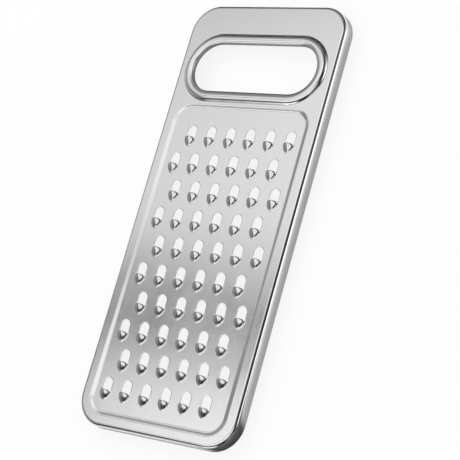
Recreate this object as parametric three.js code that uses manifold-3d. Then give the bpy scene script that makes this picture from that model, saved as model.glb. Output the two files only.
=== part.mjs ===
// Flat hand grater: one stainless pressing with punched teeth, a rolled hand slot and a wired rim.
// Millimetres, lying flat with the teeth up: X across, +Y towards the hand slot, +Z up, floor at Z = 0.
import * as THREE from "three";
import { mergeVertices } from "three/addons/utils/BufferGeometryUtils.js";
import Module from "manifold-3d";

// Outline of the pressing and its skirt
const LENGTH = 260;
const WIDTH = 108;
const CORNER_R = 17.5;
const SKIRT_H = 10;
const SHOULDER_R = 2.3;
const SHEET_T = 0.7;

// Stiffening wires and the edges rolled round them
const WIRE_D = 2.8;
const WIRE_GAP = 0.3;
const WIRE_BUTT = 0.6;
const RIM_CURL_END = 255;
const GRIP_CURL_END = 315;

// Hand slot and its raised bead
const SLOT_WIDTH = 30.5;
const SLOT_HANDLE_LAND = 17;
const SLOT_SIDE_LAND = 3;
const BEAD_RISE = 2;
const BEAD_FLANK = 1.4;

// Sunk grating field and the flat land left round it
const FIELD_DROP = 0.45;
const FIELD_STEP = 3;
const FIELD_CORNER_R = 9;
const FIELD_SIDE_LAND = 4.3;
const FIELD_FOOT_LAND = 3.8;
const FIELD_BRIDGE = 1.35;

// Teeth: each is pierced on its slot side and domed up on its foot side
const ROWS = 10;
const COLUMNS = 6;
const ROW_STAGGER = 0.46;
const FIRST_ROW_DOWN = 11;
const LAST_ROW_UP = 6.6;
const TOOTH_SIDE_LAND = 3.7;
const TOOTH_WIDTH = 6.7;
const TOOTH_PIERCE = 8;
const TOOTH_DOME = 4.7;
const TOOTH_RISE = 2.2;
const LIP_BULGE = 0.6;
const TAIL_ROUND = 0.72;
const CREST_ROUND = 0.2;

// Fineness of the curved surfaces
const CORNER_STEPS = 6;
const SLOT_STEPS = 11;
const CURL_STEP = 30;
const SHOULDER_STEPS = 4;
const SWELL_STEPS = 5;
const ARCH_STEPS = 6;
const DOME_STEPS = 3;
const HOLLOW_ARCH_STEPS = 4;
const HOLLOW_STEPS = 2;
const PIERCE_STEPS = 6;

// How far neighbouring regions of the sheet run into each other before they are joined
const LAP = 0.3;

const WIRE_R = WIRE_D / 2;
const CURL_IN = WIRE_R + WIRE_GAP;
const CURL_OUT = CURL_IN + SHEET_T;
const FLANK_W = CURL_OUT + BEAD_FLANK;
const BEAD_W = CURL_OUT + FLANK_W;
const LAND_Z = SKIRT_H;
const FIELD_Z = LAND_Z - FIELD_DROP;
const BEAD_Z = LAND_Z + BEAD_RISE - CURL_OUT;

const SLOT_R = SLOT_WIDTH / 2;
const SLOT_HALF = WIDTH / 2 - SHOULDER_R - SLOT_SIDE_LAND - BEAD_W - SLOT_R;
const SLOT_Y = LENGTH / 2 - SHOULDER_R - SLOT_HANDLE_LAND - BEAD_W - SLOT_R;

const FIELD_HALF = WIDTH / 2 - SHOULDER_R - FIELD_SIDE_LAND - FIELD_STEP;
const FIELD_FOOT = -LENGTH / 2 + SHOULDER_R + FIELD_FOOT_LAND + FIELD_STEP;
const FIELD_HEAD = SLOT_Y - SLOT_R - BEAD_W - FIELD_BRIDGE - FIELD_STEP;

const FIRST_LIP = FIELD_HEAD - FIRST_ROW_DOWN - TOOTH_PIERCE;
const LAST_LIP = FIELD_FOOT + LAST_ROW_UP + TOOTH_DOME;
const ROW_PITCH = (FIRST_LIP - LAST_LIP) / (ROWS - 1);
const TOOTH_SPAN = 2 * (FIELD_HALF - TOOTH_SIDE_LAND) - TOOTH_WIDTH;
const COLUMN_PITCH = TOOTH_SPAN / (COLUMNS - 1 + ROW_STAGGER);

const wasm = await Module();
wasm.setup();

const radians = THREE.MathUtils.degToRad;

// A closed three.js geometry as a solid that can be joined and cut; faces shrunk to a line are dropped.
function solid(geometry) {
  const bare = geometry.clone();
  bare.deleteAttribute("normal");
  bare.deleteAttribute("uv");
  const merged = mergeVertices(bare, 1e-4);
  const vertProperties = merged.getAttribute("position").array;
  const corners = [];
  for (let i = 0; i < merged.index.count; i += 3) {
    const [a, b, c] = merged.index.array.slice(i, i + 3);
    if (a !== b && b !== c && c !== a) corners.push(a, b, c);
  }
  const triVerts = new Uint32Array(corners);
  return new wasm.Manifold(new wasm.Mesh({ numProp: 3, vertProperties, triVerts }));
}

// A joined and cut solid as a three.js geometry.
function geometryOf(body) {
  const mesh = body.getMesh();
  const geometry = new THREE.BufferGeometry();
  geometry.setAttribute("position", new THREE.BufferAttribute(mesh.vertProperties, 3));
  geometry.setIndex(new THREE.BufferAttribute(mesh.triVerts, 1));
  geometry.computeVertexNormals();
  return geometry;
}

// Skin over rows of points: rows join up with the next row, and each row is a closed loop.
// A closed skin joins its last row to its first, and an open one has its two end rows capped.
function skin(rows, closed) {
  const count = rows[0].length;
  const position = rows.flat().flatMap((p) => [p.x, p.y, p.z]);
  const index = [];
  const last = closed ? rows.length : rows.length - 1;
  for (let i = 0; i < last; i++) {
    const here = i * count;
    const there = ((i + 1) % rows.length) * count;
    for (let j = 0; j < count; j++) {
      const k = (j + 1) % count;
      index.push(here + j, here + k, there + k);
      index.push(here + j, there + k, there + j);
    }
  }
  if (!closed) {
    const end = (rows.length - 1) * count;
    for (let j = 1; j < count - 1; j++) {
      index.push(0, j + 1, j);
      index.push(end, end + j, end + j + 1);
    }
  }
  const geometry = new THREE.BufferGeometry();
  geometry.setAttribute("position", new THREE.Float32BufferAttribute(position, 3));
  geometry.setIndex(index);
  return geometry;
}

// A rectangle with round corners, counter-clockwise, as the same number of points at every size.
function roundedLoop(half, foot, head, radius) {
  const centres = [
    [half - radius, head - radius],
    [radius - half, head - radius],
    [radius - half, foot + radius],
    [half - radius, foot + radius],
  ];
  return centres.flatMap(([x, y], corner) => {
    const points = [];
    for (let i = 0; i <= CORNER_STEPS; i++) {
      const angle = radians(90 * (corner + i / CORNER_STEPS));
      points.push(new THREE.Vector2(x + radius * Math.cos(angle), y + radius * Math.sin(angle)));
    }
    return points;
  });
}

// The outline of the pressing, moved out by a distance.
function outlineLoop(out) {
  return roundedLoop(WIDTH / 2 + out, -LENGTH / 2 - out, LENGTH / 2 + out, CORNER_R + out);
}

// The edge of the flat part of the grating field, moved out by a distance.
function fieldLoop(out) {
  return roundedLoop(FIELD_HALF + out, FIELD_FOOT - out, FIELD_HEAD + out, FIELD_CORNER_R + out);
}

// The hand slot's clear opening, moved out by a distance.
function slotLoop(out) {
  const points = [];
  for (const side of [1, -1]) {
    for (let i = 0; i <= SLOT_STEPS; i++) {
      const angle = radians(180 * (i / SLOT_STEPS) - 90 * side);
      const x = side * SLOT_HALF + (SLOT_R + out) * Math.cos(angle);
      points.push(new THREE.Vector2(x, SLOT_Y + (SLOT_R + out) * Math.sin(angle)));
    }
  }
  return points;
}

// A section of [distance, height] points, counter-clockwise, carried round a loop that widens with distance.
function ring(section, loopAt) {
  const rows = section.map(([out, z]) => loopAt(out).map((p) => new THREE.Vector3(p.x, p.y, z)));
  return solid(skin(rows, true));
}

// A flat piece of sheet inside one loop and outside others, with its top at a height.
function flatSheet(outer, holes, top) {
  const shape = new THREE.Shape(outer);
  shape.holes = holes.map((points) => new THREE.Path(points));
  const plate = new THREE.ExtrudeGeometry(shape, { depth: SHEET_T, bevelEnabled: false });
  return solid(plate.translate(0, 0, top - SHEET_T));
}

// Corners of a curl's flat-sided section about a centre, from one angle to another.
// The sides touch the true circle, so the curl has a flat foot to stand on.
function curl(centre, height, radius, from, to) {
  const reach = radius / Math.cos(radians(CURL_STEP / 2));
  const points = [];
  const step = Math.sign(to - from) * CURL_STEP;
  for (let angle = from; Math.abs(angle - from) <= Math.abs(to - from); angle += step) {
    points.push([centre + reach * Math.cos(radians(angle)), height + reach * Math.sin(radians(angle))]);
  }
  return points;
}

// Quarter-round from the land over to the skirt, about one centre for both faces of the sheet.
function shoulder(radius) {
  const points = [];
  for (let i = 0; i <= SHOULDER_STEPS; i++) {
    const angle = radians(90 * (i / SHOULDER_STEPS));
    points.push([radius * Math.sin(angle) - SHOULDER_R, LAND_Z - SHOULDER_R + radius * Math.cos(angle)]);
  }
  return points;
}

// Shoulder, skirt and curl: the sheet's inner face down to the curl's end, then back up its outer face.
function rim() {
  const start = -CURL_STEP / 2;
  const curlIn = curl(-CURL_OUT, CURL_OUT, CURL_IN, start, -RIM_CURL_END);
  const curlOut = curl(-CURL_OUT, CURL_OUT, CURL_OUT, start, -RIM_CURL_END);
  const inner = [...shoulder(SHOULDER_R - SHEET_T), ...curlIn];
  const outer = [...shoulder(SHOULDER_R), ...curlOut];
  const edge = -SHOULDER_R - LAP;
  const section = [[edge, LAND_Z - SHEET_T], ...inner, ...outer.reverse(), [edge, LAND_Z]];
  return ring(section, outlineLoop);
}

// A smooth swell from 0 to 1, level at both ends.
function swell(part) {
  return (1 - Math.cos(Math.PI * part)) / 2;
}

// The easy step down from the land to the grating field.
function fieldStep() {
  const top = [[-LAP, FIELD_Z]];
  for (let i = 0; i <= SWELL_STEPS; i++) {
    const part = i / SWELL_STEPS;
    top.push([FIELD_STEP * part, FIELD_Z + FIELD_DROP * swell(part)]);
  }
  top.push([FIELD_STEP + LAP, LAND_Z]);
  const under = top.map(([out, z]) => [out, z - SHEET_T]);
  return ring([...under, ...top.reverse()], fieldLoop);
}

// Bead round the hand slot: up from the land, over the wire and curled back under it.
function bead() {
  const flankTop = [[BEAD_W + LAP, LAND_Z]];
  const flankUnder = [[BEAD_W + LAP, LAND_Z - SHEET_T]];
  for (let i = 0; i < SWELL_STEPS; i++) {
    const part = i / SWELL_STEPS;
    const out = BEAD_W - FLANK_W * part;
    const z = LAND_Z + BEAD_RISE * swell(part);
    const slope = (BEAD_RISE / FLANK_W) * (Math.PI / 2) * Math.sin(Math.PI * part);
    const tilt = Math.atan(slope);
    flankTop.push([out, z]);
    flankUnder.push([out - SHEET_T * Math.sin(tilt), z - SHEET_T * Math.cos(tilt)]);
  }
  flankTop.push([CURL_OUT, BEAD_Z + CURL_OUT]);
  flankUnder.push([CURL_OUT, BEAD_Z + CURL_IN]);
  const start = 90 + CURL_STEP / 2;
  const outer = curl(CURL_OUT, BEAD_Z, CURL_OUT, start, GRIP_CURL_END);
  const inner = curl(CURL_OUT, BEAD_Z, CURL_IN, start, GRIP_CURL_END);
  const section = [...flankTop, ...outer, ...inner.reverse(), ...flankUnder.reverse()];
  return ring(section, slotLoop);
}

// Half-round arch across a tooth at a distance below its lip, closed along a straight foot.
function arch(half, rise, y, foot, steps) {
  const points = [];
  for (let i = 0; i <= steps; i++) {
    const angle = Math.PI * (i / steps);
    points.push(new THREE.Vector3(half * Math.cos(angle), -y, rise * Math.sin(angle)));
  }
  points.push(new THREE.Vector3(-half, -y, foot));
  points.push(new THREE.Vector3(half, -y, foot));
  return points;
}

// Height of a dome's ridge as a share of its rise: a rounded crest, then a nearly straight back.
function ridge(down) {
  const fall = Math.hypot(CREST_ROUND, down) - CREST_ROUND;
  return 1 - fall / (Math.hypot(CREST_ROUND, 1) - CREST_ROUND);
}

// Dome that runs from beyond its lip down to a rounded tail; height 0 is the top of the field.
function dome(half, rise, reach, foot, across, along) {
  const rows = [arch(half, rise, -2 * LIP_BULGE, foot, across)];
  for (let i = 0; i <= along; i++) {
    const down = i / along;
    const width = half * Math.cos((Math.PI / 2) * down) ** TAIL_ROUND;
    rows.push(arch(width, rise * ridge(down), reach * down, foot, across));
  }
  return solid(skin(rows, false));
}

// Punch that pierces a tooth: round at the slot side, and bowed along the lip.
function pierce() {
  const half = TOOTH_WIDTH / 2;
  const outline = new THREE.Shape();
  outline.moveTo(half, 0);
  for (let i = 0; i <= PIERCE_STEPS; i++) {
    const angle = Math.PI * (i / PIERCE_STEPS);
    outline.lineTo(half * Math.cos(angle), TOOTH_PIERCE - half + half * Math.sin(angle));
  }
  for (let i = 0; i < ARCH_STEPS; i++) {
    const across = -Math.cos(Math.PI * (i / ARCH_STEPS));
    outline.lineTo(half * across, LIP_BULGE * (1 - across * across));
  }
  const below = SHEET_T + LAP;
  const depth = below + TOOTH_RISE + LAP;
  const punch = new THREE.ExtrudeGeometry(outline, { depth, bevelEnabled: false });
  return solid(punch.translate(0, 0, -below));
}

// Lip centre of every tooth, row by row from the slot end, with alternate rows staggered.
function toothPlaces() {
  const places = [];
  for (let row = 0; row < ROWS; row++) {
    const shift = (row % 2 === 0 ? 0.5 : -0.5) * ROW_STAGGER * COLUMN_PITCH;
    for (let column = 0; column < COLUMNS; column++) {
      const x = (column - (COLUMNS - 1) / 2) * COLUMN_PITCH + shift;
      places.push([x, FIRST_LIP - row * ROW_PITCH, FIELD_Z]);
    }
  }
  return places;
}

// One copy of a shape at every tooth, as a single solid.
function atEveryTooth(shape) {
  return toothPlaces()
    .map((place) => shape.translate(place))
    .reduce((all, one) => all.add(one));
}

// Grating field: flat sheet, with the domes raised, hollowed from below and pierced at the lip.
function gratingField() {
  const half = TOOTH_WIDTH / 2;
  const raised = dome(half, TOOTH_RISE, TOOTH_DOME, -SHEET_T / 2, ARCH_STEPS, DOME_STEPS);
  const hollowFoot = -SHEET_T - LAP;
  const hollowHalf = half - SHEET_T;
  const hollowRise = TOOTH_RISE - SHEET_T;
  const hollowReach = TOOTH_DOME - 2 * SHEET_T;
  const hollow = dome(hollowHalf, hollowRise, hollowReach, hollowFoot, HOLLOW_ARCH_STEPS, HOLLOW_STEPS);
  return flatSheet(fieldLoop(0), [], FIELD_Z)
    .add(atEveryTooth(raised))
    .subtract(atEveryTooth(hollow))
    .subtract(atEveryTooth(pierce()));
}

// The whole pressing: land, rim, field and bead as one piece of sheet.
function graterSheet() {
  const land = flatSheet(outlineLoop(-SHOULDER_R), [fieldLoop(FIELD_STEP), slotLoop(BEAD_W)], LAND_Z);
  return land.add(rim()).add(fieldStep()).add(bead()).add(gratingField());
}

// Round wire carried along a loop, with its two ends butting on the foot side at the middle.
function buttedWire(out, height, loopAt, buttY) {
  const start = CURL_STEP / 2;
  const section = curl(out, height, WIRE_R, start, start + 360 - CURL_STEP);
  const gap = new THREE.BoxGeometry(WIRE_BUTT, 2 * WIRE_D, 2 * WIRE_D);
  return ring(section, loopAt).subtract(solid(gap.translate(0, buttY, height)));
}

// Wire in the curl at the foot of the skirt.
function rimWire() {
  return buttedWire(-CURL_OUT, CURL_OUT, outlineLoop, CURL_OUT - LENGTH / 2);
}

// Wire ring in the rolled edge of the hand slot.
function gripWire() {
  return buttedWire(CURL_OUT, BEAD_Z, slotLoop, SLOT_Y - SLOT_R - CURL_OUT);
}

const steel = new THREE.MeshStandardMaterial({ color: 0xc9cbcc, roughness: 0.3, metalness: 1 });
const wireSteel = new THREE.MeshStandardMaterial({ color: 0xb4b6b8, roughness: 0.4, metalness: 1 });

const grater = new THREE.Group();
grater.name = "flat_grater";

function addPiece(name, body, material) {
  const mesh = new THREE.Mesh(geometryOf(body), material);
  mesh.name = name;
  grater.add(mesh);
}

addPiece("grater_sheet", graterSheet(), steel);
addPiece("rim_wire", rimWire(), wireSteel);
addPiece("grip_wire", gripWire(), wireSteel);

export default grater;
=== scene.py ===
"""Looks of the flat hand grater: a satin stainless pressing with two stiffening wires, on a pale floor."""
import math

import bmesh
import bpy
import numpy as np
from mathutils import Euler, Matrix, Vector
from mathutils.geometry import delaunay_2d_cdt


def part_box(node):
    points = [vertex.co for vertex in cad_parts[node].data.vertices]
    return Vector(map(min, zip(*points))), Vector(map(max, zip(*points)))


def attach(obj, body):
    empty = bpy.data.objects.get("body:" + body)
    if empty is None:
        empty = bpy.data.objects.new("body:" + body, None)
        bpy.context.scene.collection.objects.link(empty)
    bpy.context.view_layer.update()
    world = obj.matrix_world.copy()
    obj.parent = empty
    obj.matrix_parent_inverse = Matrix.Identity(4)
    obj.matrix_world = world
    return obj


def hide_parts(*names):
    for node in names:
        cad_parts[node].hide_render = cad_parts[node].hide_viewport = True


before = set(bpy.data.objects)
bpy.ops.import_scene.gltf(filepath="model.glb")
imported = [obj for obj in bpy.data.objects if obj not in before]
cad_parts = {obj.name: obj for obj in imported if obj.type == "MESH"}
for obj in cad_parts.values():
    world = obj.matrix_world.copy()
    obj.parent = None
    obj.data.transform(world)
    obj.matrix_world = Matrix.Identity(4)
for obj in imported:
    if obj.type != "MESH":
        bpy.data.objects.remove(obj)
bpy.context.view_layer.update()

MM = 0.001

# Sizes of the pressing in millimetres, the same as in the part's source
sheet_low, sheet_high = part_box("grater_sheet")
LENGTH = (sheet_high.y - sheet_low.y) / MM
WIDTH = (sheet_high.x - sheet_low.x) / MM
CORNER_R = 17.5
LAND_Z = 10
SHOULDER_R = 2.3
SHEET_T = 0.7
WIRE_R = 1.4
WIRE_GAP = 0.3
WIRE_BUTT = 0.6
RIM_CURL_END = 255
GRIP_CURL_END = 315
SLOT_WIDTH = 30.5
SLOT_HANDLE_LAND = 17
SLOT_SIDE_LAND = 3
BEAD_RISE = 2
BEAD_FLANK = 1.4
FIELD_DROP = 0.45
FIELD_STEP = 3
FIELD_CORNER_R = 9
FIELD_SIDE_LAND = 4.3
FIELD_FOOT_LAND = 3.8
FIELD_BRIDGE = 1.35
ROWS = 10
COLUMNS = 6
ROW_STAGGER = 0.46
FIRST_ROW_DOWN = 11
LAST_ROW_UP = 6.6
TOOTH_SIDE_LAND = 3.7
TOOTH_WIDTH = 6.7
TOOTH_PIERCE = 8
TOOTH_DOME = 4.7
TOOTH_RISE = 2.2
LIP_BULGE = 0.6
TAIL_ROUND = 0.72
CREST_ROUND = 0.2

# Places that follow from those sizes
CURL_R = WIRE_R + WIRE_GAP + SHEET_T
PLAIN_BEAD_W = 2 * CURL_R + BEAD_FLANK
BEAD_Z = LAND_Z + BEAD_RISE - CURL_R
SLOT_R = SLOT_WIDTH / 2
SLOT_HALF = WIDTH / 2 - SHOULDER_R - SLOT_SIDE_LAND - PLAIN_BEAD_W - SLOT_R
SLOT_Y = LENGTH / 2 - SHOULDER_R - SLOT_HANDLE_LAND - PLAIN_BEAD_W - SLOT_R
FIELD_Z = LAND_Z - FIELD_DROP
FIELD_HALF = WIDTH / 2 - SHOULDER_R - FIELD_SIDE_LAND - FIELD_STEP
FIELD_FOOT = -LENGTH / 2 + SHOULDER_R + FIELD_FOOT_LAND + FIELD_STEP
FIELD_HEAD = SLOT_Y - SLOT_R - PLAIN_BEAD_W - FIELD_BRIDGE - FIELD_STEP
TOOTH_HALF = TOOTH_WIDTH / 2
FIRST_LIP = FIELD_HEAD - FIRST_ROW_DOWN - TOOTH_PIERCE
LAST_LIP = FIELD_FOOT + LAST_ROW_UP + TOOTH_DOME
ROW_PITCH = (FIRST_LIP - LAST_LIP) / (ROWS - 1)
TOOTH_SPAN = 2 * (FIELD_HALF - TOOTH_SIDE_LAND) - TOOTH_WIDTH
COLUMN_PITCH = TOOTH_SPAN / (COLUMNS - 1 + ROW_STAGGER)

# Roundings that only the looks show, in millimetres and degrees
BEAD_EDGE_R = 0.8
BEAD_EDGE_TILT = 20
BEAD_TOP_R = 7.2
BEAD_TOP_TURN = 8
BEAD_STEEP = 66
BEAD_FILLET_R = 0.6
LIP_T = 0.4
LIP_TURN = 55
LIP_ROLL_R = 0.5
LIP_FADE = 1.6
DOME_FOOT = 0.32
FILLET_SIDE = 0.7
FILLET_TAIL = 1.0
HOLE_INSET = 0.2
HOLE_ROLL = 0.3
HOLE_SINK = 0.1
HOLE_EASE = 1.2
FLAT_TAIL = 0.25
SHARP_FROM = 38

# Fineness of the curved surfaces
CORNER_STEPS = 20
SLOT_STEPS = 40
SHORT_STEPS = 9
LONG_STEPS = 21
ARC_STEP = 6
SWELL_STEPS = 14
DOME_COLUMNS = 12
DOME_STEPS = 10
FOOT_STEPS = 3
FILLET_STEPS = 4
LIP_STEPS = 4
HOLE_STEPS = 18
HOLE_SIDE_SHARES = (0.05, 0.12, 0.22, 0.35, 0.55, 0.78)
WIRE_STEPS = 16
HALVINGS = 40
SLOPE_STEP = 1e-4
WELD = 1e-4
CLOSE = 1e-6
TINY = 1e-9


class Surface:
    """Points and faces of an open surface, gathered patch by patch, in millimetres."""

    def __init__(self):
        self.points = []
        self.faces = []
        self.thickness = []

    def add(self, points, faces, place=(0, 0, 0), thickness=None):
        base = len(self.points)
        dx, dy, dz = place
        self.points += [(x + dx, y + dy, z + dz) for x, y, z in points]
        self.thickness += thickness or [SHEET_T] * len(points)
        self.faces += [tuple(base + i for i in face) for face in faces]


def between(start, end, steps):
    """Points along a straight side, without its two ends."""
    (x0, y0), (x1, y1) = start, end
    return [(x0 + (x1 - x0) * i / steps, y0 + (y1 - y0) * i / steps) for i in range(1, steps)]


def rounded_loop(half, foot, head, radius):
    """A rectangle with round corners, counter-clockwise, as the same number of points at every size."""
    centres = [
        (half - radius, head - radius),
        (radius - half, head - radius),
        (radius - half, foot + radius),
        (half - radius, foot + radius),
    ]
    corners = []
    for corner, (x, y) in enumerate(centres):
        angles = [math.radians(90 * (corner + i / CORNER_STEPS)) for i in range(CORNER_STEPS + 1)]
        corners.append([(x + radius * math.cos(a), y + radius * math.sin(a)) for a in angles])
    points = []
    for corner, steps in enumerate((SHORT_STEPS, LONG_STEPS, SHORT_STEPS, LONG_STEPS)):
        points += corners[corner]
        points += between(corners[corner][-1], corners[(corner + 1) % 4][0], steps)
    return points


def outline_loop(out):
    return rounded_loop(WIDTH / 2 + out, -LENGTH / 2 - out, LENGTH / 2 + out, CORNER_R + out)


def field_loop(out):
    return rounded_loop(FIELD_HALF + out, FIELD_FOOT - out, FIELD_HEAD + out, FIELD_CORNER_R + out)


def slot_loop(out):
    ends = []
    reach = SLOT_R + out
    for side in (1, -1):
        x = side * SLOT_HALF
        angles = [math.radians(180 * i / SLOT_STEPS - 90 * side) for i in range(SLOT_STEPS + 1)]
        ends.append([(x + reach * math.cos(a), SLOT_Y + reach * math.sin(a)) for a in angles])
    right, left = ends
    return [
        *right,
        *between(right[-1], left[0], SHORT_STEPS),
        *left,
        *between(left[-1], right[0], SHORT_STEPS),
    ]


def add_ring(surface, section, loop_at):
    """A section of (distance, height) points, carried round a loop that widens with distance."""
    rows = [[(x, y, z) for x, y in loop_at(out)] for out, z in section]
    count = len(rows[0])
    faces = []
    for i in range(len(rows) - 1):
        for j in range(count):
            a = i * count + j
            b = i * count + (j + 1) % count
            faces.append((a, a + count, b + count, b))
    surface.add([p for row in rows for p in row], faces)


def inside(points, loop):
    """Which of the points lie inside a closed loop."""
    found = np.zeros(len(points), bool)
    x, y = points[:, 0], points[:, 1]
    for (x0, y0), (x1, y1) in zip(loop, loop[1:] + loop[:1]):
        if y0 == y1:
            continue
        crosses = (y0 > y) != (y1 > y)
        found ^= crosses & (x < x0 + (y - y0) * (x1 - x0) / (y1 - y0))
    return found


def add_flat(surface, z, outer, holes):
    """A flat region at one height, inside the outer loop and outside the holes."""
    corners, edges = [], []
    for loop in [outer, *holes]:
        base = len(corners)
        corners += [Vector(p) for p in loop]
        edges += [(base + i, base + (i + 1) % len(loop)) for i in range(len(loop))]
    points, _, faces, *_ = delaunay_2d_cdt(corners, edges, [], 0, CLOSE)
    flat = np.array([tuple(p) for p in points])
    middles = np.array([flat[list(face)].mean(0) for face in faces])
    keep = inside(middles, outer)
    for hole in holes:
        keep &= ~inside(middles, hole)
    surface.add([(x, y, z) for x, y in flat], [tuple(f) for f, k in zip(faces, keep) if k])


def arc(centre, height, radius, start, end):
    """Points of a round section from one angle to another, in degrees."""
    steps = max(1, round(abs(end - start) / ARC_STEP))
    angles = [math.radians(start + (end - start) * i / steps) for i in range(steps + 1)]
    return [(centre + radius * math.cos(a), height + radius * math.sin(a)) for a in angles]


def swell(part):
    """A rise from 0 to 1 that starts and ends level."""
    return (1 - math.cos(math.pi * part)) / 2


def add_rim(surface):
    """Shoulder, skirt and the curl at its foot, from the land outwards."""
    section = [(-SHOULDER_R - FLAT_TAIL, LAND_Z)]
    section += arc(-SHOULDER_R, LAND_Z - SHOULDER_R, SHOULDER_R, 90, 0)
    section += arc(-CURL_R, CURL_R, CURL_R, 0, -RIM_CURL_END)
    add_ring(surface, section, outline_loop)


def add_field_step(surface):
    section = [(-FLAT_TAIL, FIELD_Z)]
    for i in range(SWELL_STEPS + 1):
        part = i / SWELL_STEPS
        section.append((FIELD_STEP * part, FIELD_Z + FIELD_DROP * swell(part)))
    section.append((FIELD_STEP + FLAT_TAIL, LAND_Z))
    add_ring(surface, section, field_loop)


def bead_section():
    """The rolled edge of the hand slot, from the end of its curl over the crest and down to the land."""
    edge, top, steep = (math.radians(a) for a in (BEAD_EDGE_TILT, BEAD_TOP_TURN, BEAD_STEEP))
    crest = LAND_Z + BEAD_RISE
    drop = BEAD_TOP_R * (1 - math.cos(top)) + BEAD_FILLET_R * (1 - math.cos(steep))
    side_r = (BEAD_RISE - drop) / (math.cos(top) - math.cos(steep))
    section = arc(CURL_R, BEAD_Z, CURL_R, GRIP_CURL_END, 180)
    edge_z = crest - BEAD_TOP_R * (1 - math.cos(edge)) - BEAD_EDGE_R * math.cos(edge)
    section += arc(BEAD_EDGE_R, edge_z, BEAD_EDGE_R, 180, 90 + BEAD_EDGE_TILT)
    middle = BEAD_EDGE_R * (1 - math.sin(edge)) + BEAD_TOP_R * math.sin(edge)
    section += arc(middle, crest - BEAD_TOP_R, BEAD_TOP_R, 90 + BEAD_EDGE_TILT, 90 - BEAD_TOP_TURN)[1:]
    out, z = section[-1]
    side_out = out - side_r * math.sin(top)
    side_z = z - side_r * math.cos(top)
    section += arc(side_out, side_z, side_r, 90 - BEAD_TOP_TURN, 90 - BEAD_STEEP)[1:]
    foot_out = section[-1][0] + BEAD_FILLET_R * math.sin(steep)
    section += arc(foot_out, LAND_Z + BEAD_FILLET_R, BEAD_FILLET_R, 270 - BEAD_STEEP, 270)[1:]
    return section


BEAD_W = bead_section()[-1][0]


def add_bead(surface):
    add_ring(surface, [*bead_section(), (BEAD_W + FLAT_TAIL, LAND_Z)], slot_loop)


LIP_BACK = LIP_ROLL_R * math.sin(math.radians(LIP_TURN))
LIP_DOWN = LIP_BACK / TOOTH_DOME


def dome_width(down):
    """Half width of the dome at a share of its length below the lip."""
    return TOOTH_HALF * max(0, math.cos(math.pi / 2 * down)) ** TAIL_ROUND


def ridge(down):
    """Height of the dome's ridge as a share of its rise: a rounded crest, then a nearly straight back."""
    fall = math.hypot(CREST_ROUND, down) - CREST_ROUND
    return 1 - fall / (math.hypot(CREST_ROUND, 1) - CREST_ROUND)


def dome_point(side, down, share):
    """A point of the dome on the way from the lip's crest to its foot outline, at a share of that way."""
    x = side * share * dome_width(down)
    part = (down - LIP_DOWN) / (1 - LIP_DOWN)
    bow = (1 - share**2) * (1 - share * (1 - (1 - part) ** 2))
    y = -LIP_BACK + share * (LIP_BACK - TOOTH_DOME * down) + LIP_BULGE * bow
    below = max(0, -y / TOOTH_DOME)
    across = abs(x) / max(TINY, dome_width(below))
    rise = TOOTH_RISE * max(0, ridge(below)) * math.sqrt(max(0, 1 - across**2))
    return np.array((x, y, rise))


def last_share(holds):
    """The share from 0 to 1 up to which a test holds, found by halving."""
    low, high = 0.0, 1.0
    for _ in range(HALVINGS):
        middle = (low + high) / 2
        if holds(middle):
            low = middle
        else:
            high = middle
    return low


def foot_fillet(side, down, start, before):
    """Points of the curve that eases the dome into the flat field, with the last ones beyond its outline."""
    pole = np.array((0, -LIP_BACK, 0))
    foot = np.array((side * dome_width(down), -TOOTH_DOME * down, 0))
    away = (foot - pole) / np.linalg.norm(foot - pole)
    slope = (before[2] - start[2]) / max(TINY, np.dot(start - before, away))
    corner = start + away * (start[2] / slope)
    corner[2] = 0
    end = foot + away * (FILLET_SIDE + (FILLET_TAIL - FILLET_SIDE) * swell(down))

    def curve(t):
        return (1 - t) ** 2 * start + 2 * t * (1 - t) * corner + t**2 * end

    outline = last_share(lambda t: np.dot(curve(t) - foot, away) < 0)
    points = [curve(outline * i / FOOT_STEPS) for i in range(1, FOOT_STEPS + 1)]
    points += [curve(outline + (1 - outline) * i / FILLET_STEPS) for i in range(1, FILLET_STEPS + 1)]
    return [*points, end + away * FLAT_TAIL]


def dome_column(side, down):
    """Points from near the crest down the dome and over its filleted foot to the flat field."""
    low = last_share(lambda share: dome_point(side, down, share)[2] > DOME_FOOT)
    turn = math.asin(low)
    shares = [math.sin(turn * i / DOME_STEPS) for i in range(1, DOME_STEPS + 1)]
    points = [dome_point(side, down, share) for share in shares]
    before = dome_point(side, down, low - SLOPE_STEP)
    return points + foot_fillet(side, down, points[-1], before)


def next_numbers(points, count):
    """The numbers that the next points will have."""
    return list(range(len(points), len(points) + count))


def dome_columns(points):
    """Adds the dome column by column, from the lip's left end round the tail to its right end."""
    downs = [LIP_DOWN + (1 - LIP_DOWN) * i / DOME_COLUMNS for i in range(DOME_COLUMNS + 1)]
    places = [(-1, down) for down in downs] + [(1, down) for down in reversed(downs[:-1])]
    columns = []
    for side, down in places:
        column = dome_column(side, down)
        columns.append(next_numbers(points, len(column)))
        points += column
    return columns


def lip_rows(points, crest):
    """Adds the lip, rolled over towards the hole row by row from the dome's crest line."""
    rows = [crest]
    for step in range(1, LIP_STEPS + 1):
        turn = math.radians(LIP_TURN * step / LIP_STEPS)
        forward = np.array((0, LIP_ROLL_R * math.sin(turn), 0))
        rows.append(next_numbers(points, len(crest)))
        for i in crest:
            x, _, z = points[i]
            weight = swell(min(1, z / (2 * DOME_FOOT)))
            normal = np.array((x / TOOTH_HALF**2, 0, z / TOOTH_RISE**2 + TINY))
            normal /= np.linalg.norm(normal)
            points.append(points[i] + forward - normal * LIP_ROLL_R * (1 - math.cos(turn)) * weight)
    return rows


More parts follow.
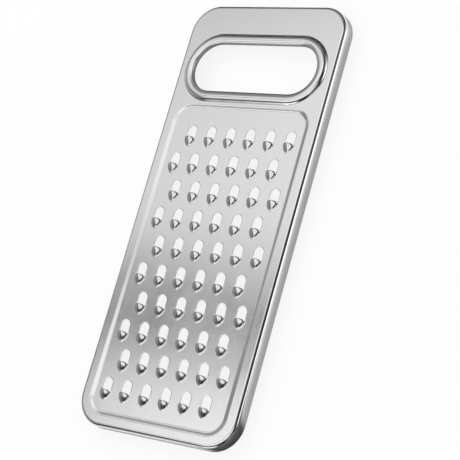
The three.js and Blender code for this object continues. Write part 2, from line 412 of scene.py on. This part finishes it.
def hole_edge(lip_x):
    """Points of the hole's edge and the directions away from it, from the lip's right end to its left end."""
    radius = TOOTH_HALF - HOLE_INSET
    straight = TOOTH_PIERCE - HOLE_INSET - radius
    side = []
    for share in HOLE_SIDE_SHARES:
        y = straight * share
        side.append((radius + (lip_x - radius) * (1 - swell(min(1, y / HOLE_EASE))), y))
    edge = [((x, y), (1, 0)) for x, y in side]
    for i in range(HOLE_STEPS + 1):
        angle = math.pi * i / HOLE_STEPS
        normal = (math.cos(angle), math.sin(angle))
        edge.append(((radius * normal[0], straight + radius * normal[1]), normal))
    edge += [((-x, y), (-1, 0)) for x, y in reversed(side)]
    return edge


def hole_strips(points, first, last):
    """Adds the eased rim of the hole, as strips from the lip's right end round to its left end."""
    lip_x = points[first[0]][0]
    away = [(points[i][0] - lip_x, points[i][2]) for i in first]
    strips = [first]
    for (x, y), (nx, ny) in hole_edge(lip_x):
        fade = 1 - swell(min(1, y / LIP_FADE))
        strips.append(next_numbers(points, len(away)))
        for out, z in away:
            sink = HOLE_SINK * max(0, 1 - out / HOLE_ROLL) ** 2
            points.append(np.array((x + nx * out, y + ny * out, z * fade - sink * (1 - fade))))
    return [*strips, last]


def quads(rows):
    """Faces between neighbouring rows of point numbers."""
    faces = []
    for here, there in zip(rows, rows[1:]):
        for i in range(len(here) - 1):
            faces.append((here[i], here[i + 1], there[i + 1], there[i]))
    return faces


def tooth_patch():
    """Upper face of one tooth about the middle of its lip: points, faces and the loop round it."""
    points = [np.array((0, LIP_BULGE - LIP_BACK, TOOTH_RISE))]
    columns = dome_columns(points)
    rows = lip_rows(points, [*reversed(columns[0]), 0, *columns[-1]])

    # The last lip row runs past the dome's outline at both ends, where the hole's rim goes on from it
    past_outline = FILLET_STEPS + 2
    right_end = rows[-1][-past_outline:]
    left_end = rows[-1][:past_outline]
    strips = hole_strips(points, right_end, left_end[::-1])

    faces = [(0, here[0], there[0]) for here, there in zip(columns, columns[1:])]
    faces += quads(columns) + quads(rows) + quads(strips)
    loop = [column[-1] for column in columns]
    loop += [row[-1] for row in rows[1:]]
    loop += [strip[-1] for strip in strips[1:-1]]
    loop += [row[0] for row in reversed(rows[1:])]
    return [tuple(p) for p in points], faces, [tuple(points[i][:2]) for i in loop]


def tooth_thickness(z):
    """The sheet is drawn thinner towards the crest of a tooth."""
    return SHEET_T + (LIP_T - SHEET_T) * swell(min(1, max(0, z) / TOOTH_RISE))


def tooth_places():
    places = []
    for row in range(ROWS):
        shift = (0.5 if row % 2 == 0 else -0.5) * ROW_STAGGER * COLUMN_PITCH
        for column in range(COLUMNS):
            x = (column - (COLUMNS - 1) / 2) * COLUMN_PITCH + shift
            places.append((x, FIRST_LIP - row * ROW_PITCH))
    return places


def add_teeth(surface):
    """All of the teeth, and the loops that the flat of the field leaves free for them."""
    points, faces, loop = tooth_patch()
    thickness = [tooth_thickness(z) for _, _, z in points]
    holes = []
    for x, y in tooth_places():
        surface.add(points, faces, (x, y, FIELD_Z), thickness)
        holes.append([(px + x, py + y) for px, py in loop])
    return holes


def finished_mesh(name, points, faces):
    mesh = bpy.data.meshes.new(name)
    mesh.from_pydata(points, [], faces)
    mesh.validate()
    mesh.polygons.foreach_set("use_smooth", [True] * len(mesh.polygons))
    mesh.set_sharp_from_angle(angle=math.radians(SHARP_FROM))
    return mesh


def thick_mesh(name, surface):
    """The surface as a closed sheet: its back lies a thickness behind it, and its edges are walled."""
    front = bmesh.new()
    thick = front.verts.layers.float.new("thick")
    verts = [front.verts.new(Vector(p)) for p in surface.points]
    for vert, value in zip(verts, surface.thickness):
        vert[thick] = value
    for face in surface.faces:
        front.faces.new([verts[i] for i in face])
    bmesh.ops.remove_doubles(front, verts=front.verts, dist=WELD)
    front.normal_update()
    front.verts.index_update()
    count = len(front.verts)
    points = [v.co * MM for v in front.verts]
    points += [(v.co - v.normal * v[thick]) * MM for v in front.verts]
    faces = [[v.index for v in f.verts] for f in front.faces]
    faces += [[i + count for i in reversed(face)] for face in faces]
    for edge in front.edges:
        if len(edge.link_loops) == 1:
            loop = edge.link_loops[0]
            a, b = loop.vert.index, loop.link_loop_next.vert.index
            faces.append([b, a, a + count, b + count])
    front.free()
    return finished_mesh(name, points, faces)


def pressing_mesh():
    """The whole pressing: land, rim, sunk field with its teeth, and the bead round the hand slot."""
    surface = Surface()
    land_holes = [field_loop(FIELD_STEP + FLAT_TAIL), slot_loop(BEAD_W + FLAT_TAIL)]
    add_flat(surface, LAND_Z, outline_loop(-SHOULDER_R - FLAT_TAIL), land_holes)
    add_rim(surface)
    add_field_step(surface)
    add_bead(surface)
    tooth_holes = add_teeth(surface)
    add_flat(surface, FIELD_Z, field_loop(-FLAT_TAIL), tooth_holes)
    return thick_mesh("grater_pressing", surface)


def wire_mesh(name, loop_at, out, height, foot_at):
    """A round wire bent into a ring, with its two ends butting on the foot side at the middle."""
    rows = []
    for i in range(WIRE_STEPS):
        angle = 2 * math.pi * i / WIRE_STEPS
        reach = out + WIRE_R * math.cos(angle)
        z = height + WIRE_R * math.sin(angle)
        loop = loop_at(reach)
        foot = foot_at(reach)
        cut = max(k for k, p in enumerate(loop) if p[0] < 0 and abs(p[1] - foot) < CLOSE) + 1
        path = [(WIRE_BUTT / 2, foot), *loop[cut:], *loop[:cut], (-WIRE_BUTT / 2, foot)]
        rows.append([(x, y, z) for x, y in path])
    count = len(rows[0])
    faces = []
    for i in range(WIRE_STEPS):
        k = (i + 1) % WIRE_STEPS
        for j in range(count - 1):
            a, b = i * count + j, k * count + j
            faces.append((a, a + 1, b + 1, b))
    faces.append([i * count for i in range(WIRE_STEPS)])
    faces.append([i * count + count - 1 for i in reversed(range(WIRE_STEPS))])
    points = [Vector(p) * MM for row in rows for p in row]
    mesh = finished_mesh(name, points, faces)
    fixed = bmesh.new()
    fixed.from_mesh(mesh)
    bmesh.ops.recalc_face_normals(fixed, faces=fixed.faces)
    fixed.to_mesh(mesh)
    fixed.free()
    return mesh


def rim_wire_mesh():
    return wire_mesh("rim_wire_round", outline_loop, -CURL_R, CURL_R, lambda out: -LENGTH / 2 - out)


def grip_wire_mesh():
    return wire_mesh("grip_wire_round", slot_loop, CURL_R, BEAD_Z, lambda out: SLOT_Y - SLOT_R - out)


# Wear and painted shade of a flat place, and its change for a bend of one radian per millimetre, outwards and
# inwards: outward bends mark rubbed edges, inward bends paint shade into hollows
WEAR_AND_SHADE_FLAT = 0.5
WEAR_EDGE = 0.4
HOLLOW_SHADE_PER_BEND = 0.25
SHORTEST_EDGE = 0.01


def add_wear_and_shade(mesh):
    """Keeps on each point how far it stands proud, from 0 in a hollow over 0.5 on a flat to 1 on an edge:
    high values mark rubbed edges, low ones paint shade into hollows.
    """
    count = len(mesh.vertices)
    places = np.empty(count * 3)
    mesh.vertices.foreach_get("co", places)
    places = places.reshape(-1, 3) / MM
    normals = np.array([n.vector for n in mesh.vertex_normals])
    ends = np.empty(len(mesh.edges) * 2, int)
    mesh.edges.foreach_get("vertices", ends)
    ends = ends.reshape(-1, 2)
    ends = np.concatenate([ends, ends[:, ::-1]])
    step = places[ends[:, 0]] - places[ends[:, 1]]
    squared = np.maximum(SHORTEST_EDGE**2, (step**2).sum(1))
    bend = 2 * (normals[ends[:, 0]] * step).sum(1) / squared
    high, low = np.zeros(count), np.zeros(count)
    np.maximum.at(high, ends[:, 0], bend)
    np.minimum.at(low, ends[:, 0], bend)
    value = np.clip(WEAR_AND_SHADE_FLAT + WEAR_EDGE * high + HOLLOW_SHADE_PER_BEND * low, 0, 1)
    mesh.attributes.new("wear_and_shade", "FLOAT", "POINT").data.foreach_set("value", value.astype(np.float32))


def make(tree, kind, inputs=None, **settings):
    """A shader node with its settings, and each named input filled in or linked to a socket."""
    made = tree.nodes.new(kind)
    for key, value in settings.items():
        setattr(made, key, value)
    for key, value in (inputs or {}).items():
        if isinstance(value, bpy.types.NodeSocket):
            tree.links.new(value, made.inputs[key])
        else:
            made.inputs[key].default_value = value
    return made


def blank(material):
    """An emptied node tree and its output node."""
    material.use_nodes = True
    tree = material.node_tree
    tree.nodes.clear()
    return tree, tree.nodes.new("ShaderNodeOutputMaterial")


def ramp(tree, value, low, high, to_low, to_high):
    """A value carried smoothly from one range to another."""
    inputs = {"Value": value, "From Min": low, "From Max": high, "To Min": to_low, "To Max": to_high}
    return make(tree, "ShaderNodeMapRange", inputs, interpolation_type="SMOOTHSTEP").outputs["Result"]


def noise(tree, place, scale, detail, stretch=(1, 1, 1)):
    """Noise over the object's own place, its scale in features per millimetre."""
    factor = tuple(s * scale / MM for s in stretch)
    mapped = make(tree, "ShaderNodeMapping", {"Vector": place, "Scale": factor}).outputs["Vector"]
    inputs = {"Vector": mapped, "Scale": 1, "Detail": detail, "Roughness": 0.55}
    return make(tree, "ShaderNodeTexNoise", inputs).outputs["Fac"]


def maths(tree, operation, a, b):
    return make(tree, "ShaderNodeMath", {0: a, 1: b}, operation=operation).outputs["Value"]


def mixed(tree, share, first, second, label=""):
    """A number that goes from the first to the second with the share."""
    inputs = {0: share, 2: first, 3: second}
    return make(tree, "ShaderNodeMix", inputs, data_type="FLOAT", label=label).outputs[0]


def band(tree, value, edges):
    """One between two edges and nothing outside them, with both edges softened."""
    low, high, soft = edges
    above = ramp(tree, value, low - soft, low + soft, 0, 1)
    below = ramp(tree, value, high - soft, high + soft, 1, 0)
    return maths(tree, "MULTIPLY", above, below)


# Marks on the steel: features per millimetre, and noise or wear-and-shade values at which they begin and are
# full
CLOUDS_PER_MM = 0.035
MOTTLE_PER_MM = 0.8
HAIRS_PER_MM = 2.2
HAIR_STRETCH = (1, 0.02, 1)
USUAL_NOISE = (0.3, 0.7)
PATCHY_NOISE = (0.3, 0.6)
HAIR_NOISE = (0.62, 0.72)
RUBBED_WEAR = (0.58, 0.95)
HOLLOW_SHADE_RANGE = (0.44, 0.2)
LEAST_RUBBED = 0.55

# What those marks change: the share of the light tone, the roughness and the relief; the hollow tone is
# painted shade
CLOUD_TONES = (0.25, 0.6)
GRAIN_TONE = 0.12
RUBBED_TONE = 0.35
HOLLOW_PAINTED_SHADE = 0.3
CLOUD_GLOSS = 0.015
MOTTLE_GLOSS = 0.015
HAIR_GLOSS = 0.05
RUBBED_GLOSS = 0.03
HOLLOW_GLOSS = 0.04
MOTTLE_RELIEF = 0.6


def steel_marks(tree, grain, grain_scale):
    """Patterns that the tone, the gloss and the relief of the steel share."""
    place = make(tree, "ShaderNodeTexCoord").outputs["Object"]
    wear_and_shade = make(tree, "ShaderNodeAttribute", attribute_name="wear_and_shade").outputs["Fac"]
    mottle = noise(tree, place, MOTTLE_PER_MM, 4)
    edges = ramp(tree, wear_and_shade, *RUBBED_WEAR, 0, 1)
    patches = ramp(tree, mottle, *PATCHY_NOISE, LEAST_RUBBED, 1)
    return {
        "clouds": noise(tree, place, CLOUDS_PER_MM, 3),
        "mottle": mottle,
        "lines": noise(tree, place, grain_scale, 3, grain),
        "hairs": noise(tree, place, HAIRS_PER_MM, 2, HAIR_STRETCH),
        "rubbed": maths(tree, "MULTIPLY", edges, patches),
        # Hollows, where shade is painted into the colour and the steel is rougher
        "hollow": ramp(tree, wear_and_shade, *HOLLOW_SHADE_RANGE, 0, 1),
    }


def steel_tone(tree, marks, dark, light):
    """Colour, clouded and grained, lighter on rubbed edges and darker in hollows, where the darkening is
    painted shade.
    """
    shade = ramp(tree, marks["clouds"], *USUAL_NOISE, *CLOUD_TONES)
    shade = maths(tree, "ADD", shade, ramp(tree, marks["lines"], *USUAL_NOISE, -GRAIN_TONE, GRAIN_TONE))
    shade = maths(tree, "ADD", shade, maths(tree, "MULTIPLY", marks["rubbed"], RUBBED_TONE))
    # Painted shade: the hollows are darkened in the colour
    shade = maths(tree, "SUBTRACT", shade, maths(tree, "MULTIPLY", marks["hollow"], HOLLOW_PAINTED_SHADE))
    inputs = {0: shade, 6: (*dark, 1), 7: (*light, 1)}
    return make(tree, "ShaderNodeMix", inputs, data_type="RGBA").outputs[2]


def steel_gloss(tree, marks, rough):
    """Roughness, clouded and mottled, with hairlines, smoother on rubbed edges and duller in hollows."""
    gloss = ramp(tree, marks["clouds"], *USUAL_NOISE, rough - CLOUD_GLOSS, rough + CLOUD_GLOSS)
    mottle = ramp(tree, marks["mottle"], *USUAL_NOISE, -MOTTLE_GLOSS, MOTTLE_GLOSS)
    gloss = maths(tree, "ADD", gloss, mottle)
    gloss = maths(tree, "ADD", gloss, ramp(tree, marks["hairs"], *HAIR_NOISE, 0, HAIR_GLOSS))
    gloss = maths(tree, "SUBTRACT", gloss, maths(tree, "MULTIPLY", marks["rubbed"], RUBBED_GLOSS))
    return maths(tree, "ADD", gloss, maths(tree, "MULTIPLY", marks["hollow"], HOLLOW_GLOSS))


def steel_relief(tree, marks, depth):
    height = maths(tree, "ADD", marks["lines"], maths(tree, "MULTIPLY", marks["mottle"], MOTTLE_RELIEF))
    inputs = {"Height": height, "Strength": 1.0, "Distance": depth * MM}
    return make(tree, "ShaderNodeBump", inputs).outputs["Normal"]


def steel(name, dark, light, rough, grain, grain_scale, grain_depth):
    """Stainless steel with rolled or drawn grain, soft clouding, hairlines, edges rubbed brighter and painted
    shade in its hollows.
    """
    material = bpy.data.materials.new(name)
    tree, output = blank(material)
    marks = steel_marks(tree, grain, grain_scale)
    inputs = {
        "Base Color": steel_tone(tree, marks, dark, light),
        "Metallic": 1,
        "Roughness": steel_gloss(tree, marks, rough),
        "Normal": steel_relief(tree, marks, grain_depth),
    }
    shader = make(tree, "ShaderNodeBsdfPrincipled", inputs)
    tree.links.new(shader.outputs[0], output.inputs["Surface"])
    return material


def sheet_steel():
    """Satin sheet with fine rolling grain along its length."""
    return steel(
        "sheet_steel",
        dark=(0.715, 0.709, 0.718),
        light=(0.79, 0.783, 0.793),
        rough=0.13,
        grain=(1, 0.03, 1),
        grain_scale=5,
        grain_depth=0.00015,
    )


def wire_steel():
    """Duller drawn wire with an even grain."""
    return steel(
        "wire_steel",
        dark=(0.55, 0.55, 0.555),
        light=(0.65, 0.65, 0.655),
        rough=0.28,
        grain=(1, 1, 1),
        grain_scale=3,
        grain_depth=0.002,
    )


def add_piece(name, mesh, node, material):
    add_wear_and_shade(mesh)
    piece = bpy.data.objects.new(name, mesh)
    bpy.context.scene.collection.objects.link(piece)
    mesh.materials.append(material)
    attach(piece, "root")
    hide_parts(node)


def add_grater():
    """The three pieces, each in place of its solid."""
    sheet = sheet_steel()
    wire = wire_steel()
    add_piece("grater_pressing", pressing_mesh(), "grater_sheet", sheet)
    add_piece("rim_wire_round", rim_wire_mesh(), "rim_wire", wire)
    add_piece("grip_wire_round", grip_wire_mesh(), "grip_wire", wire)


# The floor's places in metres and its levels, with the painted shade and shadow that the metal mirrors
FLOOR_HALF = 9
FLOOR_Z = -1e-4
FLOOR_COLOUR = (0.9, 0.9, 0.9, 1)
FLOOR_WHITE = 0.94
FLOOR_SHADE = 0.08
FLOOR_MIRRORED = 1.15
FLOOR_MIRRORED_SHADED_NEAR = 0.45
NEAR_REACH = 0.022
NEAR_OPENNESS = (0.72, 0.92)
# Painted shade beneath the part and a painted shadow past its right front corner, seen only in the metal
BENEATH_X = (-0.045, 0.045, 0.006)
BENEATH_Y = (-0.122, 0.122, 0.006)
PAINTED_SHADE_BENEATH = 0.42
CORNER_EDGE = (0.163, 0.175)
PAINTED_SHADOW_PAST_CORNER = 0.15


def floor_mirrored(tree, openness):
    """How bright the floor is in the metal.

    It is white a little way off, with painted shade: grey near the part, as the occlusion lets it, and darker
    beneath it and past its right front corner, where X less Y is large, as a painted shadow that only the
    metal mirrors.
    """
    place = make(tree, "ShaderNodeNewGeometry").outputs["Position"]
    spot = make(tree, "ShaderNodeSeparateXYZ", {0: place}).outputs
    across, along = band(tree, spot["X"], BENEATH_X), band(tree, spot["Y"], BENEATH_Y)
    # Painted shade on the floor under the part
    beneath = ramp(tree, maths(tree, "MULTIPLY", across, along), 0, 1, 1, PAINTED_SHADE_BENEATH)
    past = ramp(tree, maths(tree, "SUBTRACT", spot["X"], spot["Y"]), *CORNER_EDGE, 0, 1)
    # Painted shadow on the floor past the part's right front corner
    corner = ramp(tree, past, 0, 1, 1, PAINTED_SHADOW_PAST_CORNER)
    # Painted contact shade near the part, from the occlusion
    near = ramp(tree, openness, *NEAR_OPENNESS, FLOOR_MIRRORED_SHADED_NEAR, FLOOR_MIRRORED)
    return maths(tree, "MULTIPLY", maths(tree, "MULTIPLY", beneath, corner), near)


def floor_material():
    """Matt floor that is white to the camera, with a faint shade near the part, and is clear from below."""
    material = bpy.data.materials.new("floor")
    tree, output = blank(material)
    paths = make(tree, "ShaderNodeLightPath").outputs
    openness = make(tree, "ShaderNodeAmbientOcclusion", {"Distance": NEAR_REACH}, samples=8).outputs["AO"]
    seen = maths(tree, "ADD", maths(tree, "MULTIPLY", openness, FLOOR_SHADE), 1 - FLOOR_SHADE)
    level = mixed(tree, paths["Is Camera Ray"], floor_mirrored(tree, openness), seen)
    glow = make(tree, "ShaderNodeEmission", {"Color": (1, 1, 1, 1), "Strength": level})
    matt = make(tree, "ShaderNodeBsdfDiffuse", {"Color": FLOOR_COLOUR})
    in_metal = maths(tree, "MAXIMUM", paths["Is Glossy Ray"], paths["Is Transmission Ray"])
    share = maths(tree, "ADD", maths(tree, "MULTIPLY", paths["Is Camera Ray"], FLOOR_WHITE), in_metal)
    pale = make(tree, "ShaderNodeMixShader", {0: share, 1: matt.outputs[0], 2: glow.outputs[0]})
    clear = make(tree, "ShaderNodeBsdfTransparent")
    under = make(tree, "ShaderNodeNewGeometry").outputs["Backfacing"]
    both = make(tree, "ShaderNodeMixShader", {0: under, 1: pale.outputs[0], 2: clear.outputs[0]})
    tree.links.new(both.outputs[0], output.inputs["Surface"])
    return material


def add_floor():
    corners = [(x * FLOOR_HALF, y * FLOOR_HALF, FLOOR_Z) for x, y in ((-1, -1), (1, -1), (1, 1), (-1, 1))]
    mesh = bpy.data.meshes.new("floor")
    mesh.from_pydata(corners, [], [(0, 1, 2, 3)])
    mesh.materials.append(floor_material())
    floor = bpy.data.objects.new("floor", mesh)
    bpy.context.scene.collection.objects.link(floor)


# Boxes and cards of a grey studio: name, kind, two pairs of edges each with its softness, level
ROOM_LEVEL = 0.3
LOWEST = 0.02
OVERHEAD, ASIDE = "overhead", "aside"
SURROUNDINGS = [
    ("dark back wall", ASIDE, (60, 150, 6), (-10, 26, 2), 0.0),
    ("dark front wall", ASIDE, (-143, 25, 2), (-10, 62, 2), 0.03),
    ("grey front card", ASIDE, (-56, -24, 8), (-5, 22, 4), 0.35),
    ("dim front card", ASIDE, (-147, -124, 4), (-5, 37, 5), 0.1),
    ("front box", OVERHEAD, (-0.82, 0.7, 0.03), (-0.9, -0.1, 0.03), 1.05),
    ("fill card", OVERHEAD, (-0.55, 0.2, 0.1), (0.1, 0.32, 0.04), 0.65),
    ("main box", OVERHEAD, (-0.84, 0.0, 0.08), (-0.02, 0.18, 0.02), 1.2),
    ("back box", OVERHEAD, (-1.9, 0.2, 0.04), (0.265, 0.83, 0.03), 1.05),
    ("bright box", OVERHEAD, (-0.52, 0.2, 0.2), (0.235, 0.6, 0.04), 1.15),
    ("back card", OVERHEAD, (-2.5, 0.2, 0.1), (0.57, 1.5, 0.15), 0.3),
    ("dark card", OVERHEAD, (0.05, 0.75, 0.1), (0.1, 1.4, 0.1), 0.05),
    ("right strip", ASIDE, (0, 38, 15), (-12, 20, 5), 2.1),
    ("front strip", ASIDE, (-125, -88, 6), (-5, 18, 6), 1.8),
    ("left grey wall", ASIDE, (141, 195, 12), (15, 41, 16), 0.3),
    ("left front card", ASIDE, (-158, -138, 6), (-5, 15, 5), 0.1),
]


def add_surroundings():
    """The grey room, with its boxes and cards laid over one another in their order.

    A box or card overhead has its edges on a ceiling, as shares of the ceiling's height. One at the side has
    them as azimuths and heights in degrees.
    """
    world = bpy.data.worlds.new("studio")
    bpy.context.scene.world = world
    world.use_nodes = True
    tree = world.node_tree
    tree.nodes.clear()
    direction = make(tree, "ShaderNodeTexCoord").outputs["Generated"]
    look = make(tree, "ShaderNodeSeparateXYZ", {0: direction}).outputs
    up = maths(tree, "MAXIMUM", look["Z"], LOWEST)
    azimuth = maths(tree, "ARCTAN2", look["Y"], look["X"])
    height = maths(tree, "ARCSINE", look["Z"], 0)
    places = {
        OVERHEAD: (maths(tree, "DIVIDE", look["X"], up), maths(tree, "DIVIDE", look["Y"], up)),
        ASIDE: tuple(maths(tree, "MULTIPLY", angle, math.degrees(1)) for angle in (azimuth, height)),
    }
    level = ROOM_LEVEL
    for name, kind, across, along, strength in SURROUNDINGS:
        first, second = places[kind]
        cover = maths(tree, "MULTIPLY", band(tree, first, across), band(tree, second, along))
        level = mixed(tree, cover, level, strength, name)
    sky = make(tree, "ShaderNodeBackground", {"Color": (1, 1, 1, 1), "Strength": level})
    tree.links.new(sky.outputs[0], tree.nodes.new("ShaderNodeOutputWorld").inputs["Surface"])


# The lamp in metres and watts
LAMP_PLACE = (-0.78, 0.75, 1.0)
LAMP_SIZE = 0.8
LAMP_POWER = 14


def add_lamp():
    """A lamp from the back left, which throws the soft shadow and isn't mirrored in the steel."""
    data = bpy.data.lights.new("lamp", "AREA")
    data.shape = "DISK"
    data.size = LAMP_SIZE
    data.energy = LAMP_POWER
    lamp = bpy.data.objects.new("lamp", data)
    bpy.context.scene.collection.objects.link(lamp)
    lamp.location = LAMP_PLACE
    lamp.rotation_euler = (-lamp.location).to_track_quat("-Z", "Y").to_euler()
    lamp.visible_glossy = False


# The photo's viewing place in metres and its turn in degrees
CAMERA_PLACE = (0.5053, -0.2103, 0.6846)
CAMERA_TURN = (23.6914, 30.8501, 18.1891)
CAMERA_LENS = 120.9
CAMERA_SENSOR = 36


def add_camera():
    data = bpy.data.cameras.new("camera")
    data.sensor_width = CAMERA_SENSOR
    data.lens = CAMERA_LENS
    camera = bpy.data.objects.new("camera", data)
    bpy.context.scene.collection.objects.link(camera)
    turn = Euler([math.radians(angle) for angle in CAMERA_TURN])
    camera.matrix_world = Matrix.LocRotScale(Vector(CAMERA_PLACE), turn, None)
    bpy.context.scene.camera = camera


add_grater()
add_floor()
add_surroundings()
add_lamp()
add_camera()
bpy.context.scene.view_settings.view_transform = "Standard"
